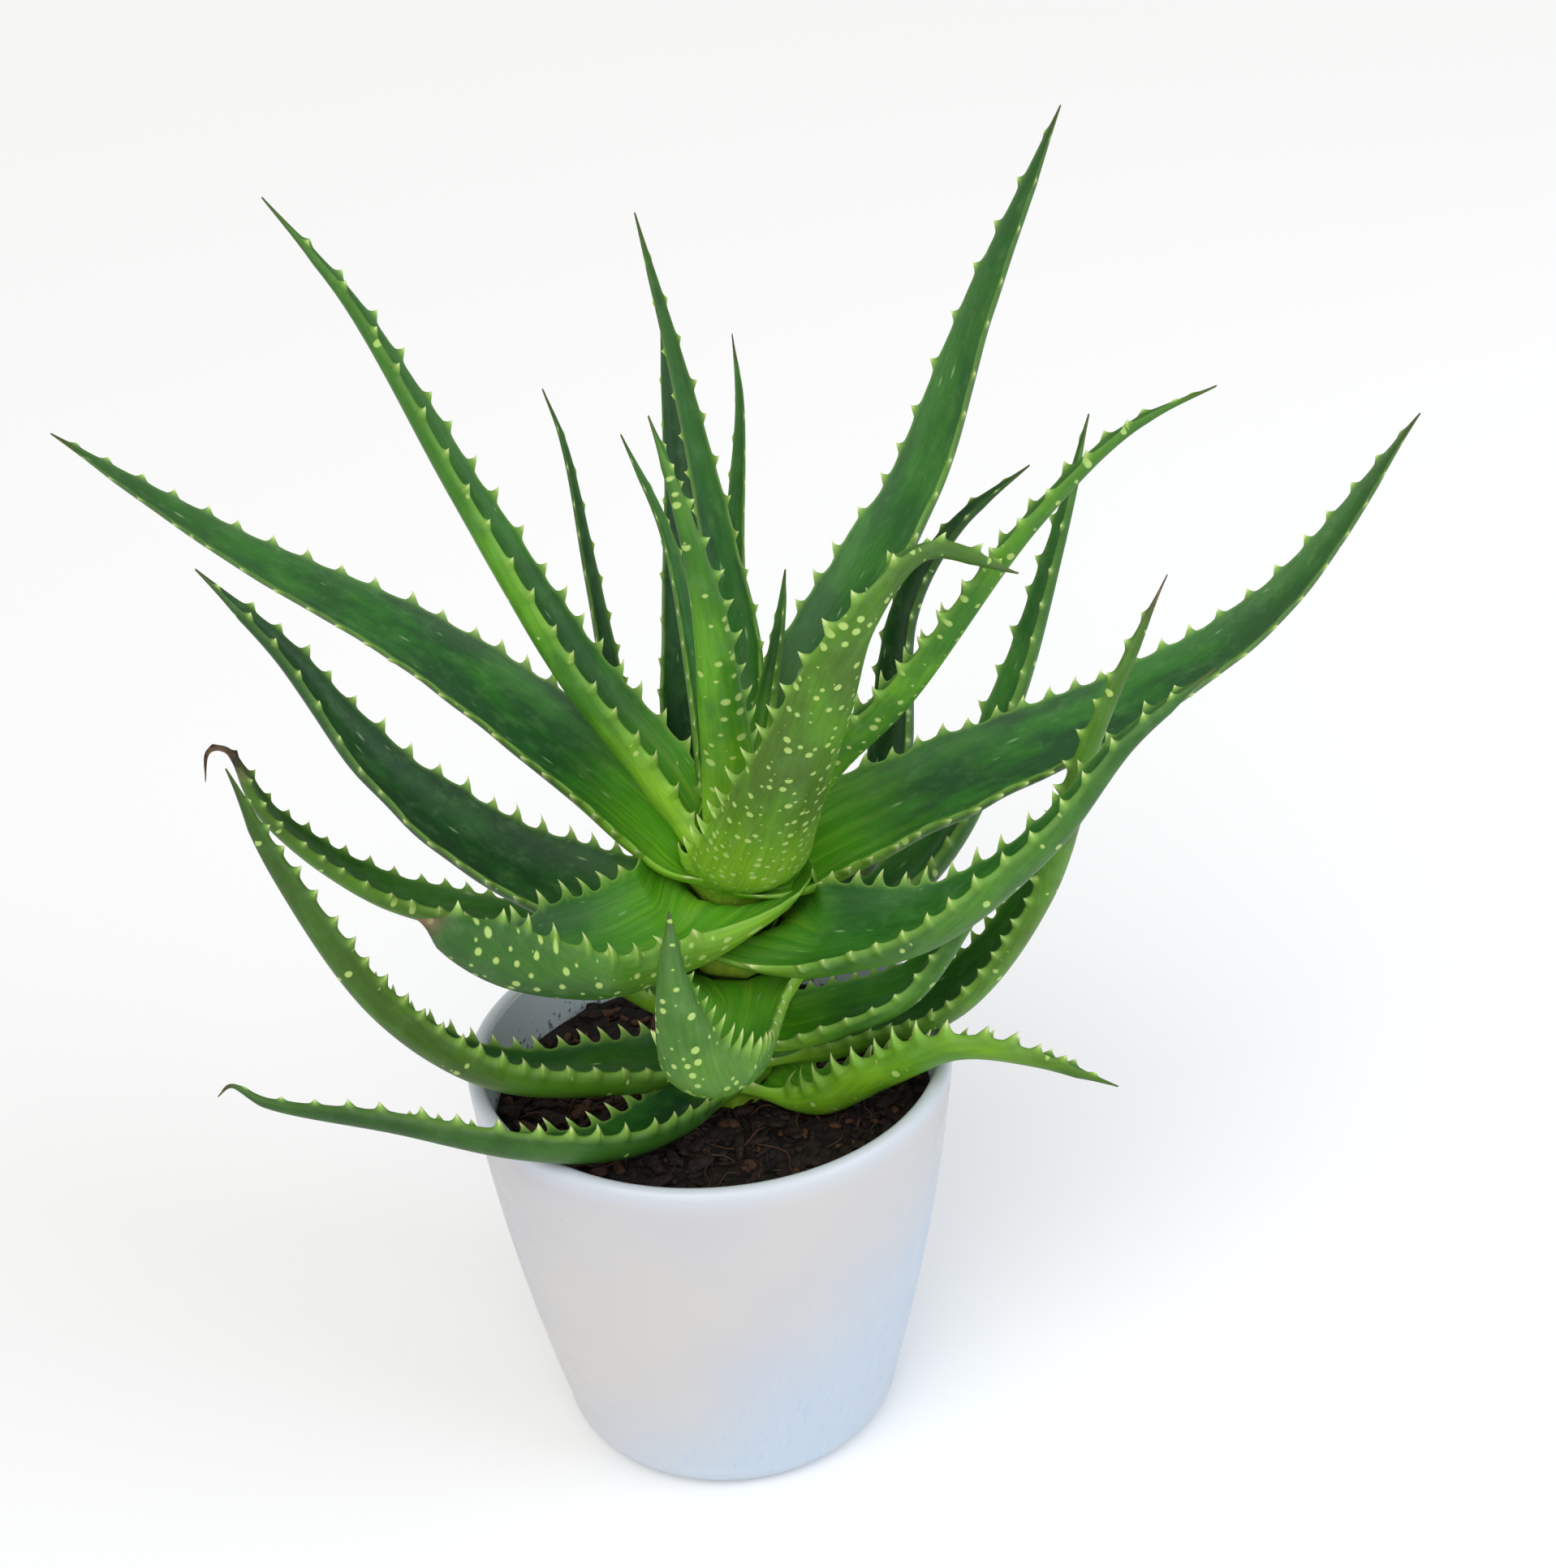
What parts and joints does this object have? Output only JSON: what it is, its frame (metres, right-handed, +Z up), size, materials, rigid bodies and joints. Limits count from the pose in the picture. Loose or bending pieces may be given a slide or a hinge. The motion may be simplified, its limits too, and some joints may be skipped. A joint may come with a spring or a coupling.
{
  "type": "potted aloe plant",
  "caption": "Rosette of long toothed succulent leaves on a short stem, growing in soil in a round tapered pot that stands on a flat foot.",
  "frame": {"origin": "centre of the pot's flat underside, on the surface it stands on", "axes": "+Z up along the pot's axis; -Y is the side the plant is looked at from; +X is to the right from there"},
  "size_m": [0.382, 0.1618, 0.372],
  "materials": {
    "pot_glaze": "satin white glaze on ceramic",
    "potting_soil": "rough, dark, damp potting mix with bark chips",
    "stem_bark": "dull green-brown stem under clasping leaf bases",
    "aloe_leaf": "waxy satin green with pale spots and pale teeth"
  },
  "bodies": {
    "root": {"pot": "pot_glaze", "soil": "potting_soil", "stem": "stem_bark", "leaf_inner_small": "aloe_leaf", "leaf_centre_front": "aloe_leaf", "leaf_centre_tall": "aloe_leaf", "leaf_upper_left": "aloe_leaf", "leaf_upper_right": "aloe_leaf", "leaf_front_recurved": "aloe_leaf", "leaf_far_left": "aloe_leaf", "leaf_far_right": "aloe_leaf", "leaf_right_arching": "aloe_leaf", "leaf_back_thin": "aloe_leaf", "leaf_back_left_thin": "aloe_leaf", "leaf_back_dark": "aloe_leaf", "leaf_front_left_short": "aloe_leaf", "leaf_mid_left": "aloe_leaf", "leaf_front_right": "aloe_leaf", "leaf_front_upturned": "aloe_leaf", "leaf_back_left": "aloe_leaf", "leaf_right_steep": "aloe_leaf", "leaf_back_right_arch": "aloe_leaf", "leaf_right_hidden": "aloe_leaf", "leaf_left_curl_tip": "aloe_leaf", "leaf_low_left_long": "aloe_leaf", "leaf_right_brown_tip": "aloe_leaf", "leaf_low_right": "aloe_leaf", "leaf_low_left_rim": "aloe_leaf"}
  },
  "joints": []
}
